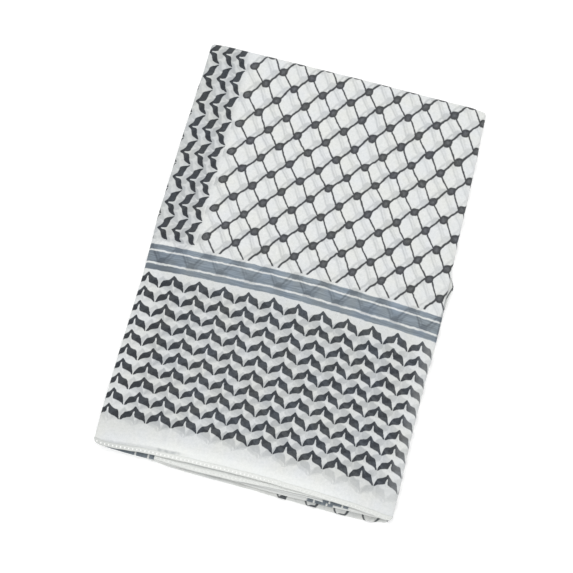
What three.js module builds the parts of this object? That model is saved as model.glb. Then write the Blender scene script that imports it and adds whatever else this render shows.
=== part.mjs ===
// A chiffon head scarf, cut 750 x 1800 mm, folded lengthwise and then in five, and laid flat.
// Units are millimetres. X runs across the pack, Y along it towards the far fold, Z up from the surface.
import * as THREE from 'three';

// The pack: outline over the folds, and the height of each layer above the surface.
const PACK_WIDTH = 248;
const PACK_LENGTH = 358;
const FAR_CORNER_RADIUS = 7;
const NEAR_CORNER_RADIUS = 3;

// Above 2, the far corners of the panels are squarer than a circle.
const CORNER_POWER = 4;
const SEAM_GAP = 0.3;

// Cloth walls and the rolled hems on their free edges.
const TOP_WALL = 1.2;
const UNDER_WALL = 1.1;
const HEM_WIDTH = 4;
const TOP_HEM_LIFT = 0.3;
const UNDER_HEM_LIFT = 0.1;

// Layer heights, from the surface up.
const BOTTOM_HEIGHT = 4.2;
const NOSE_HEIGHT = 1.45;
const NOSE_COUNT = 2;
const INNER_BASE = BOTTOM_HEIGHT + SEAM_GAP;
const INNER_TOP = INNER_BASE + NOSE_COUNT * NOSE_HEIGHT;
const UNDER_TOP = INNER_TOP + SEAM_GAP + UNDER_WALL;
const TOP_HEIGHT = UNDER_TOP + SEAM_GAP + TOP_WALL;

// The top panel turns down over the inner folds on its left and right. Its far fold wraps them too
// and ends just above the lowest fold, so that roll is deeper and leans further out.
const SIDE_ROLL = TOP_HEIGHT - INNER_TOP - SEAM_GAP;
const FAR_ROLL_DROP = TOP_HEIGHT - BOTTOM_HEIGHT - SEAM_GAP;
const FAR_ROLL_REACH = 6;

// How far the pack's edges stand from its centre lines.
const SIDE_EDGES = [
  { along: -178, left: -124.3, right: 124.6 },
  { along: -150, left: -125.4, right: 124.5 },
  { along: -108, left: -125.5, right: 123.7 },
  { along: -60, left: -124.4, right: 123.8 },
  { along: -37, left: -123.6, right: 124.4 },
  { along: -5, left: -124.1, right: 124.0 },
  { along: 18, left: -124.8, right: 123.5 },
  { along: 40, left: -124.5, right: 122.9 },
  { along: 76, left: -124.0, right: 122.0 },
  { along: 133, left: -122.6, right: 121.0 },
  { along: 152, left: -121.6, right: 120.0 },
  { along: 179, left: -121.4, right: 119.4 },
];

// Near edges by layer: the hem of the top panel, the hem under it, the folds inside and the lowest fold.
const NEAR_EDGES = [
  { across: -124, top: -175.0, under: -174.0, inner: -174.0, bottom: -174.6 },
  { across: -116, top: -176.2, under: -175.0, inner: -175.6, bottom: -175.2 },
  { across: -107, top: -175.9, under: -175.2, inner: -176.0, bottom: -175.4 },
  { across: -95, top: -174.8, under: -175.4, inner: -176.3, bottom: -175.8 },
  { across: -85, top: -173.7, under: -175.6, inner: -176.5, bottom: -176.2 },
  { across: -73, top: -173.1, under: -175.9, inner: -176.7, bottom: -177.0 },
  { across: -58, top: -172.6, under: -176.6, inner: -176.7, bottom: -177.6 },
  { across: -40, top: -172.0, under: -177.0, inner: -176.6, bottom: -178.0 },
  { across: -10, top: -171.4, under: -176.5, inner: -176.2, bottom: -177.8 },
  { across: 8, top: -171.2, under: -175.5, inner: -176.0, bottom: -177.7 },
  { across: 20, top: -171.3, under: -174.6, inner: -176.2, bottom: -177.8 },
  { across: 40, top: -171.9, under: -173.8, inner: -176.0, bottom: -178.3 },
  { across: 56, top: -172.3, under: -173.2, inner: -175.8, bottom: -178.6 },
  { across: 88, top: -173.4, under: -172.6, inner: -175.5, bottom: -178.6 },
  { across: 106, top: -174.9, under: -173.4, inner: -175.7, bottom: -178.4 },
  { across: 118, top: -176.2, under: -174.4, inner: -175.6, bottom: -177.6 },
  { across: 124, top: -176.0, under: -174.0, inner: -175.0, bottom: -176.2 },
];

// The far fold is straight but for its corners.
const FAR_EDGES = [
  { across: -124, far: 179.5 },
  { across: -108, far: 180.5 },
  { across: 0, far: 180.7 },
  { across: 108, far: 179.9 },
  { across: 124, far: 178.5 },
];

// Where the inner folds end against the pack's outline, from the lowest up.
const NOSES = [
  { side: 0.5, near: -0.5, far: 2.2 },
  { side: 1.0, near: 0.5, far: 3.0 },
];

// One inner fold has slipped out past the right edge.
const SLIPPED_NOSE = 1;
const SLIP = { along: 22, length: 12, reach: 5.6 };

// Soft ridges of the top panel: centre, direction, half length, half width and height.
const RIDGES = [
  { across: -84, along: 96, turn: 78, length: 74, width: 9, height: 0.5 },
  { across: -20, along: 118, turn: 24, length: 60, width: 12, height: 0.4 },
  { across: 52, along: 84, turn: -32, length: 66, width: 10, height: 0.6 },
  { across: 96, along: 22, turn: 70, length: 58, width: 9, height: 0.7 },
  { across: -46, along: 20, turn: 12, length: 70, width: 8, height: 0.6 },
  { across: 30, along: -36, turn: -18, length: 64, width: 11, height: 0.5 },
  { across: -98, along: -62, turn: 84, length: 60, width: 8, height: 0.7 },
  { across: -34, along: -112, turn: -10, length: 56, width: 12, height: 0.5 },
  { across: 74, along: -104, turn: 36, length: 62, width: 10, height: 0.6 },
  { across: -66, along: -158, turn: 8, length: 40, width: 6, height: 0.8 },
];

// Grid sizes: steps along and across the panels and over each roll, then round the long, short and
// corner parts of the folds.
const PANEL_ROWS = 32;
const TOP_COLUMNS = 22;
const UNDER_COLUMNS = 10;
const ROLL_STEPS = 4;
const LOOP_LONG = 30;
const LOOP_SHORT = 14;
const LOOP_CORNER = 4;

// Where the triangles of a flat cap meet.
const CAP_HUB = [12, 17];

// Smooth interpolation in a table: one column as a function of the key column.
function lookUp(table, key, column, value) {
  const last = table.length - 1;
  const inside = THREE.MathUtils.clamp(value, table[0][key], table[last][key]);
  const next = Math.max(1, table.findIndex((row) => row[key] >= inside));
  const before = table[next - 1];
  const after = table[next];
  const share = THREE.MathUtils.smoothstep(inside, before[key], after[key]);
  return THREE.MathUtils.lerp(before[column], after[column], share);
}

// Moves a point of the plain rectangle on to the pack's real outline, with the near edge of one layer.
function toOutline(x, y, layer) {
  const left = lookUp(SIDE_EDGES, 'along', 'left', y) + PACK_WIDTH / 2;
  const right = lookUp(SIDE_EDGES, 'along', 'right', y) - PACK_WIDTH / 2;
  const near = lookUp(NEAR_EDGES, 'across', layer, x) + PACK_LENGTH / 2;
  const far = lookUp(FAR_EDGES, 'across', 'far', x) - PACK_LENGTH / 2;
  return [
    x + THREE.MathUtils.lerp(left, right, x / PACK_WIDTH + 0.5),
    y + THREE.MathUtils.lerp(near, far, y / PACK_LENGTH + 0.5),
  ];
}

function ridgeHeight(ridges, x, y) {
  let height = 0;
  for (const ridge of ridges) {
    const turn = THREE.MathUtils.degToRad(ridge.turn);
    const dx = x - ridge.across;
    const dy = y - ridge.along;
    const lengthwise = (dx * Math.cos(turn) + dy * Math.sin(turn)) / ridge.length;
    const crosswise = (dy * Math.cos(turn) - dx * Math.sin(turn)) / ridge.width;
    height += ridge.height * Math.exp(-(lengthwise ** 2) - crosswise ** 2);
  }
  return height;
}

function indexed(positions, triangles) {
  const geometry = new THREE.BufferGeometry();
  geometry.setAttribute('position', new THREE.Float32BufferAttribute(positions, 3));
  geometry.setIndex(triangles);
  geometry.computeVertexNormals();
  return geometry;
}

// A closed wall between two faces, each a function of the panel's own x and y, over one grid.
function wallGeometry(columns, rows, outerFace, innerFace) {
  const positions = [];
  const triangles = [];
  for (const face of [outerFace, innerFace]) {
    for (const y of rows) {
      for (const x of columns) positions.push(...face(x, y));
    }
  }
  const wide = columns.length;
  const inner = wide * rows.length;
  const quad = (a, b, c, d) => triangles.push(a, b, c, a, c, d);
  for (let j = 0; j < rows.length - 1; j++) {
    for (let i = 0; i < wide - 1; i++) {
      const corner = j * wide + i;
      quad(corner, corner + 1, corner + wide + 1, corner + wide);
      quad(inner + corner, inner + corner + wide, inner + corner + wide + 1, inner + corner + 1);
    }
    const left = j * wide;
    const right = left + wide - 1;
    quad(left, left + wide, inner + left + wide, inner + left);
    quad(right, inner + right, inner + right + wide, right + wide);
  }
  for (let i = 0; i < wide - 1; i++) {
    const far = inner - wide + i;
    quad(i, inner + i, inner + i + 1, i + 1);
    quad(far, far + 1, inner + far + 1, inner + far);
  }
  return indexed(positions, triangles);
}

// A panel is flat as far as its rolled edges, and its own x and y run on round the roll.
// inset and farInset are where it stops inside the pack's outline, at the sides and the far fold.
const TOP_PANEL = {
  layer: 'top',
  height: TOP_HEIGHT,
  wall: TOP_WALL,
  hemLift: TOP_HEM_LIFT,
  inset: 0,
  farInset: 0,
  sideRoll: SIDE_ROLL,
  farReach: FAR_ROLL_REACH,
  farDrop: FAR_ROLL_DROP,
  ridges: RIDGES,
};
const UNDER_PANEL = {
  layer: 'under',
  height: UNDER_TOP,
  wall: UNDER_WALL,
  hemLift: UNDER_HEM_LIFT,
  inset: SIDE_ROLL,
  farInset: 5.2,
  sideRoll: 0,
  farReach: 0,
  farDrop: 0,
  ridges: [],
};

function sideArc(panel) {
  return panel.sideRoll * Math.PI / 2;
}

function farArc(panel) {
  return (panel.farReach + panel.farDrop) / 2 * Math.PI / 2;
}

function halfWidth(panel) {
  return PACK_WIDTH / 2 - panel.inset - panel.sideRoll + sideArc(panel);
}

function farEnd(panel) {
  return PACK_LENGTH / 2 - panel.farInset - panel.farReach + farArc(panel);
}

const HEM_LINE = -PACK_LENGTH / 2 + HEM_WIDTH;

// The values from start to end, evenly spaced but for a few closer ones over a roll at either end.
function spacing(start, end, count, startArc, endArc) {
  const first = start + startArc;
  const last = end - endArc;
  const values = [];
  for (let step = 0; startArc > 0 && step < ROLL_STEPS; step++) {
    values.push(THREE.MathUtils.lerp(start, first, step / ROLL_STEPS));
  }
  for (let step = 0; step <= count; step++) {
    values.push(THREE.MathUtils.lerp(first, last, step / count));
  }
  for (let step = 1; endArc > 0 && step <= ROLL_STEPS; step++) {
    values.push(THREE.MathUtils.lerp(last, end, step / ROLL_STEPS));
  }
  return values;
}

// The face of a panel at a depth below its upper side. Only its far corners are round, and the
// roll over the side grows into the one over the far fold as it turns the corner.
function panelFace(panel, depth) {
  const centreX = PACK_WIDTH / 2 - panel.inset - FAR_CORNER_RADIUS;
  const centreY = PACK_LENGTH / 2 - panel.farInset - FAR_CORNER_RADIUS;
  return (x, y) => {
    const outX = Math.max(Math.abs(x) - centreX, 0);
    const outY = Math.max(y - centreY, 0);
    const reach = Math.max(outX, outY);
    const spread = (outX ** CORNER_POWER + outY ** CORNER_POWER) ** (1 / CORNER_POWER) || 1;
    const turned = THREE.MathUtils.smoothstep(Math.atan2(outY, outX) / (Math.PI / 2), 0, 1);
    const rollReach = THREE.MathUtils.lerp(panel.sideRoll, panel.farReach, turned);
    const rollDrop = THREE.MathUtils.lerp(panel.sideRoll, panel.farDrop, turned);
    const flat = FAR_CORNER_RADIUS - rollReach;
    const past = Math.max(reach - flat, 0);
    const angle = rollReach > 0 ? past / ((rollReach + rollDrop) / 2) : 0;
    const plan = angle > 0 ? flat + (rollReach - depth) * Math.sin(angle) : reach;
    const drop = angle > 0 ? (rollDrop - depth) * (1 - Math.cos(angle)) : 0;
    const planX = Math.sign(x) * (Math.min(Math.abs(x), centreX) + plan * outX / spread);
    const planY = Math.min(y, centreY) + plan * outY / spread;
    const ripple = ridgeHeight(panel.ridges, planX, planY) * Math.cos(Math.min(angle, Math.PI / 2));
    return [...toOutline(planX, planY, panel.layer), panel.height - depth - drop + ripple];
  };
}

function panelGeometry(panel, columnCount) {
  const half = halfWidth(panel);
  const columns = spacing(-half, half, columnCount, sideArc(panel), sideArc(panel));
  const rows = spacing(HEM_LINE + SEAM_GAP, farEnd(panel), PANEL_ROWS, 0, farArc(panel));
  return wallGeometry(columns, rows, panelFace(panel, 0), panelFace(panel, panel.wall));
}

// A rolled hem along a panel's near edge, thicker than the panel and rounded at its ends.
function hemGeometry(panel, columnCount) {
  const half = halfWidth(panel);
  const columns = spacing(-half, half, columnCount, sideArc(panel), sideArc(panel));
  const roundStart = PACK_WIDTH / 2 - panel.inset - NEAR_CORNER_RADIUS;
  const bands = [
    { across: 0, depth: 0.4 },
    { across: 0.2, depth: 0 },
    { across: 0.8, depth: 0 },
    { across: 1, depth: 0.3 },
  ];
  const face = (side) => (x, across) => {
    const pinch = bands.find((band) => band.across === across).depth * panel.wall;
    const depth = side === 'outer' ? pinch - panel.hemLift : panel.wall - pinch;
    const past = Math.min(Math.max(Math.abs(x) - roundStart, 0), NEAR_CORNER_RADIUS);
    const shortened = NEAR_CORNER_RADIUS - Math.sqrt(NEAR_CORNER_RADIUS ** 2 - past ** 2);
    const y = THREE.MathUtils.lerp(HEM_LINE - HEM_WIDTH + shortened, HEM_LINE, across);
    return panelFace(panel, depth)(x, y);
  };
  return wallGeometry(columns, bands.map((band) => band.across), face('outer'), face('inner'));
}

// A closed loop round the pack's plan: x and y of each point on a rectangle with round corners.
function planLoop(halfX, nearY, farY, radius) {
  const points = [];
  const corners = [
    { x: halfX - radius, y: nearY + radius, turn: -Math.PI / 2, steps: LOOP_LONG, dx: 0, dy: 1 },
    { x: halfX - radius, y: farY - radius, turn: 0, steps: LOOP_SHORT, dx: -1, dy: 0 },
    { x: -halfX + radius, y: farY - radius, turn: Math.PI / 2, steps: LOOP_LONG, dx: 0, dy: -1 },
    { x: -halfX + radius, y: nearY + radius, turn: Math.PI, steps: LOOP_SHORT, dx: 1, dy: 0 },
  ];
  for (const corner of corners) {
    for (let step = 0; step <= LOOP_CORNER; step++) {
      const angle = corner.turn + step / LOOP_CORNER * Math.PI / 2;
      points.push([corner.x + radius * Math.cos(angle), corner.y + radius * Math.sin(angle)]);
    }
    const [x, y] = points[points.length - 1];
    const length = corner.dx === 0 ? farY - nearY - 2 * radius : 2 * (halfX - radius);
    for (let step = 1; step < corner.steps; step++) {
      const run = length * step / corner.steps;
      points.push([x + corner.dx * run, y + corner.dy * run]);
    }
  }
  return points;
}

// A closed body of loops stacked from the bottom up, with a flat cap at each end.
function stackGeometry(loops) {
  const count = loops[0].length;
  const positions = loops.flat(2);
  const triangles = [];
  for (let level = 0; level < loops.length - 1; level++) {
    for (let step = 0; step < count; step++) {
      const a = level * count + step;
      const b = level * count + (step + 1) % count;
      triangles.push(a, b, b + count, a, b + count, a + count);
    }
  }
  const top = (loops.length - 1) * count;
  const lowHub = positions.length / 3;
  positions.push(...CAP_HUB, loops[0][0][2], ...CAP_HUB, loops[loops.length - 1][0][2]);
  for (let step = 0; step < count; step++) {
    const next = (step + 1) % count;
    triangles.push(lowHub, next, step, lowHub + 1, top + step, top + next);
  }
  return indexed(positions, triangles);
}

// One loop of a fold: how far it is set in from the layer's outline, and its height.
function foldLoop(layer, z, inset, ends, slip) {
  const halfX = PACK_WIDTH / 2 - ends.side - inset;
  const nearY = -PACK_LENGTH / 2 + ends.near + inset;
  const farY = PACK_LENGTH / 2 - ends.far - inset;
  return planLoop(halfX, nearY, farY, FAR_CORNER_RADIUS - ends.side).map(([x, y]) => {
    const [planX, planY] = toOutline(x, y, layer);
    const pushed = x > 0 ? slip * Math.exp(-(((planY - SLIP.along) / SLIP.length) ** 2)) : 0;
    return [planX + pushed * Math.max(x / halfX, 0) ** 4, planY, z];
  });
}

// A fold's rounded nose, from its lower groove to its upper one: share of its height, and set-in.
const NOSE_PROFILE = [
  { rise: 0, inset: 1.3 },
  { rise: 0.2, inset: 0.35 },
  { rise: 0.5, inset: 0 },
  { rise: 0.8, inset: 0.35 },
];

function innerFoldsGeometry() {
  const loops = [];
  NOSES.forEach((ends, nose) => {
    const slip = nose === SLIPPED_NOSE ? SLIP.reach : 0;
    for (const { rise, inset } of NOSE_PROFILE) {
      const z = INNER_BASE + (nose + rise) * NOSE_HEIGHT;
      loops.push(foldLoop('inner', z, inset, ends, inset > 1 ? 0 : slip));
    }
  });
  loops.push(foldLoop('inner', INNER_TOP, NOSE_PROFILE[0].inset, NOSES[NOSE_COUNT - 1], 0));
  return stackGeometry(loops);
}

// The lowest fold rests flat, so its nose is cut level underneath.
const BOTTOM_PROFILE = [
  { z: 0, inset: 1.4 },
  { z: 0.7, inset: 0.4 },
  { z: 1.8, inset: 0 },
  { z: 3.1, inset: 0.4 },
  { z: BOTTOM_HEIGHT, inset: 1.9 },
];
const BOTTOM_ENDS = { side: 0.4, near: 0, far: 0.4 };

function bottomFoldGeometry() {
  return stackGeometry(BOTTOM_PROFILE.map(({ z, inset }) => foldLoop('bottom', z, inset, BOTTOM_ENDS, 0)));
}

const chiffon = { color: 0xe6e9e8, roughness: 0.8, metalness: 0 };
const printedChiffon = { color: 0xc3c8cb, roughness: 0.8, metalness: 0 };

function addPiece(group, name, geometry, finish) {
  const piece = new THREE.Mesh(geometry, new THREE.MeshStandardMaterial(finish));
  piece.name = name;
  group.add(piece);
}

const scarf = new THREE.Group();
addPiece(scarf, 'top_panel', panelGeometry(TOP_PANEL, TOP_COLUMNS), printedChiffon);
addPiece(scarf, 'top_hem', hemGeometry(TOP_PANEL, TOP_COLUMNS), chiffon);
addPiece(scarf, 'under_panel', panelGeometry(UNDER_PANEL, UNDER_COLUMNS), printedChiffon);
addPiece(scarf, 'under_hem', hemGeometry(UNDER_PANEL, UNDER_COLUMNS), chiffon);
addPiece(scarf, 'inner_folds', innerFoldsGeometry(), printedChiffon);
addPiece(scarf, 'bottom_fold', bottomFoldGeometry(), printedChiffon);

export default scarf;
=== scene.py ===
import math
from functools import partial

import bpy
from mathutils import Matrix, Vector, noise


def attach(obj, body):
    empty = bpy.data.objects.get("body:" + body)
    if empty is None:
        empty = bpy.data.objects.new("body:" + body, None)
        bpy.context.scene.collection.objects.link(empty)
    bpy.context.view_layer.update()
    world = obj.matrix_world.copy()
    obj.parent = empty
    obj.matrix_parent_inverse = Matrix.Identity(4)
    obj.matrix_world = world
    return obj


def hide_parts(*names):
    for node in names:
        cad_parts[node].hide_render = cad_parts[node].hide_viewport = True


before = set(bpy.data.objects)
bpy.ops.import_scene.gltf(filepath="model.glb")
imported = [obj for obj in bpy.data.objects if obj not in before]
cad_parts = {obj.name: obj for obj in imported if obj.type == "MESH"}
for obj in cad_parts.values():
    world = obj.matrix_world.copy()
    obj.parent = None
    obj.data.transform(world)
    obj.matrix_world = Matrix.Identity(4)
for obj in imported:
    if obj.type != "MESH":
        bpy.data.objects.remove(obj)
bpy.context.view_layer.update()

mm = 0.001

# the pack's plan, in millimetres: x across, y along towards the far fold
pack = {
    "halfWidth": 124.0,
    "halfLength": 179.0,
    "farCorner": 7.0,  # plan radius of the two far corners
    "cornerPower": 4,  # above 2, squarer than a circle
    "nearCorner": 3.5,
    "hemWidth": 4.2,
}

# y, left edge, right edge
sideEdges = [
    (-178, -124.3, 124.6),
    (-150, -124.8, 124.5),
    (-108, -124.5, 123.7),
    (-60, -123.8, 123.8),
    (-37, -123.3, 124.6),
    (-5, -124.0, 124.7),
    (18, -124.8, 123.8),
    (40, -124.5, 122.9),
    (76, -124.0, 122.0),
    (133, -122.6, 121.0),
    (152, -121.6, 120.0),
    (179, -121.4, 119.4),
]

# x, then the near edge of each layer: top hem, hem under it, upper and lower inner fold,
# lowest fold
nearEdges = [
    (-124, -175.0, -174.0, -174.4, -173.8, -174.6),
    (-116, -176.2, -175.0, -175.9, -175.0, -175.2),
    (-107, -175.9, -175.2, -176.4, -175.2, -175.4),
    (-95, -174.8, -175.4, -176.8, -175.6, -175.8),
    (-85, -173.7, -175.6, -176.8, -176.0, -176.2),
    (-73, -173.1, -175.9, -176.4, -176.8, -177.0),
    (-58, -172.6, -176.6, -175.6, -177.0, -178.4),
    (-40, -172.0, -177.0, -175.2, -176.9, -178.9),
    (-10, -171.4, -176.5, -175.0, -176.4, -179.0),
    (8, -171.2, -175.5, -175.0, -176.9, -179.2),
    (20, -171.3, -174.6, -175.2, -177.2, -179.6),
    (40, -171.9, -173.8, -175.0, -177.2, -179.9),
    (56, -172.3, -173.2, -174.5, -176.8, -180.2),
    (68, -172.7, -172.9, -175.0, -176.8, -180.3),
    (88, -173.4, -172.6, -175.3, -176.2, -180.2),
    (106, -174.9, -173.4, -175.4, -175.9, -179.8),
    (118, -176.2, -174.4, -175.2, -175.4, -177.8),
    (124, -176.0, -174.0, -174.6, -174.8, -176.2),
]
layers = {"top": 1, "under": 2, "upper": 3, "lower": 4, "bottom": 5}

# x, far edge
farEdges = [(-124, 179.5), (-108, 180.5), (0, 180.7), (108, 179.9), (124, 178.5)]


def smooth(low, high, value):
    share = min(max((value - low) / (high - low), 0.0), 1.0)
    return share * share * (3 - 2 * share)


def lookUp(table, at, column):
    if at <= table[0][0]:
        return table[0][column]
    for before, after in zip(table, table[1:]):
        if at <= after[0]:
            share = smooth(before[0], after[0], at)
            return before[column] + (after[column] - before[column]) * share
    return table[-1][column]


def toOutline(x, y, layer):
    left = lookUp(sideEdges, y, 1) + pack["halfWidth"]
    right = lookUp(sideEdges, y, 2) - pack["halfWidth"]
    near = lookUp(nearEdges, x, layers[layer]) + pack["halfLength"]
    far = lookUp(farEdges, x, 1) - pack["halfLength"]
    across = x / (2 * pack["halfWidth"]) + 0.5
    along = y / (2 * pack["halfLength"]) + 0.5
    return x + left + (right - left) * across, y + near + (far - near) * along


# soft ridges of the upper side: x, y, direction in degrees, half length, half width, height
ridges = [
    (-84, 96, 78, 74, 9, 0.5),
    (-20, 118, 24, 60, 12, 0.4),
    (52, 84, -32, 66, 10, 0.6),
    (96, 22, 70, 58, 9, 0.7),
    (-46, 20, 12, 70, 8, 0.6),
    (30, -36, -18, 64, 11, 0.5),
    (-98, -62, 84, 60, 8, 0.7),
    (-34, -112, -10, 56, 12, 0.5),
    (74, -104, 36, 62, 10, 0.6),
    (-66, -158, 8, 40, 6, 0.8),
]


def ridgeHeight(x, y):
    height = 0.0
    for across, along, turn, length, width, rise in ridges:
        angle = math.radians(turn)
        dx, dy = x - across, y - along
        lengthwise = (dx * math.cos(angle) + dy * math.sin(angle)) / length
        crosswise = (dy * math.cos(angle) - dx * math.sin(angle)) / width
        height += rise * math.exp(-lengthwise * lengthwise - crosswise * crosswise)
    return height


# the unevenness between them: size across and along, height, place in the noise
crinkles = [(31, 37, 0.34, 0.0), (11, 13, 0.12, 7.3)]


def crinkle(x, y, seed):
    return sum(height * noise.noise(Vector((x / wide, y / long, seed + offset)))
               for wide, long, height, offset in crinkles)


def linear(hexColour):
    values = [int(hexColour[i:i + 2], 16) / 255 for i in (1, 3, 5)]
    return [v / 12.92 if v <= 0.04045 else ((v + 0.055) / 1.055) ** 2.4 for v in values] + [1.0]


def node(tree, kind, inputs=(), operation=None, out=0, **settings):
    made = tree.nodes.new(kind if kind.startswith("NodeGroup") else "ShaderNode" + kind)
    if operation:
        made.operation = operation
    for key, value in settings.items():
        setattr(made, key, value)
    pairs = inputs.items() if isinstance(inputs, dict) else enumerate(inputs)
    for key, value in pairs:
        if isinstance(value, bpy.types.NodeSocket):
            tree.links.new(value, made.inputs[key])
        else:
            made.inputs[key].default_value = value
    return made.outputs[out] if out is not None and made.outputs else made


# the print repeat, in millimetres of cloth
net = {
    "pitchX": 24.8,
    "pitchY": 25.88,
    "originX": -79.8,
    "originY": 166.3,
    "lineWidth": 1.36,
    "lineExtra": 0.34,  # the lines that lean right are printed heavier
    "knotWide": 3.45,
    "knotTall": 3.75,
    "knotLean": 0.07,
    "knotPower": 2.3,  # 2 would make an ellipse
    "cornerPower": 1.8,  # added in the upper right quarter, for a squarer corner
    "tailWide": 4.4,
    "tailTall": 3.7,
    "tailDroop": 0.22,
    "core": (0.6, 2.4),  # the ink is thinner in the middle of a knot
    "leftEnd": -80.7,
    "lineEnd": -1.8,
    "knotEnd": 5.0,
}
# the four lines that leave a knot: height halfway to the next one, slope there,
# and how much steeper at both ends
netLines = {
    "upRight": (8.3, 1.55, -0.02),
    "downRight": (8.1, 1.15, 0.04),
    "upLeft": (5.75, 1.6, 0.05),
    "downLeft": (6.3, 0.98, 0.13),
}
leaves = {
    "pitch": 21.15,
    "rowPitch": 12.6,
    "firstPeak": -13.1,
    "firstRow": -27.5,
    "lastEdge": -153.4,
    "columnPitch": 11.9,
    "columnPeriod": 22.9,
    "columnTip": -98.6,
    "columnPeak": 10.8,
    "columnEdge": -86.8,
    "columnEnd": 1.2,
    "thinner": 0.26,  # taken off both edges of a leaf in the columns and near the sides
    "thinning": (108.0, 116.0),
    "lead": 0.3,  # the first row's tips rise a little above its start
    "overlap": 0.2,
}
stripes = [(-5.95, 2.2), (-14.15, 4.6), (-22.65, 2.35)]  # centre, half width

# outline of one leaf pair: distance along from its peak, then depth of its upper and lower edge
leafStart = -9.85
leafUpper = [
    (-9.85, 12.9), (-9.3, 9.9), (-8.9, 8.6), (-8.2, 6.9), (-7.1, 5.4), (-5.4, 4.5), (-3.2, 3.5),
    (-2.1, 2.4), (-1.1, 0.9), (0, -0.2), (1.1, 0.7), (2.1, 1.7), (3.2, 2.7), (5.4, 3.7),
    (7.5, 4.1), (8.6, 5.6), (9.6, 7.9), (10.7, 10.9), (11.3, 12.9),
]
leafLower = [
    (-9.85, 12.0), (-9.1, 12.5), (-8.8, 12.2), (-8.1, 11.8), (-6.8, 10.7), (-5, 9.9), (-2.5, 9.2),
    (-1.6, 8.7), (-1.0, 7.8), (-0.6, 5.8), (-0.2, 3.9), (0.2, 3.8), (0.6, 5.4), (1.0, 7.4),
    (1.7, 8.8), (2.9, 9.2), (5, 9.8), (7.5, 10.4), (9.3, 11.4), (10.7, 12.5), (11.3, 12.0),
]
depthRange = (-1.0, 14.0)


def setCurve(curve, table):
    low, high = depthRange
    points = curve.mapping.curves[0].points
    spots = [((along - leafStart) / leaves["pitch"], (depth - low) / (high - low))
             for along, depth in table]
    points[0].location = spots[0]
    points[1].location = spots[-1]
    for spot in spots[1:-1]:
        points.new(*spot)
    for point in points:
        point.handle_type = "AUTO_CLAMPED"
    curve.mapping.update()


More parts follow.
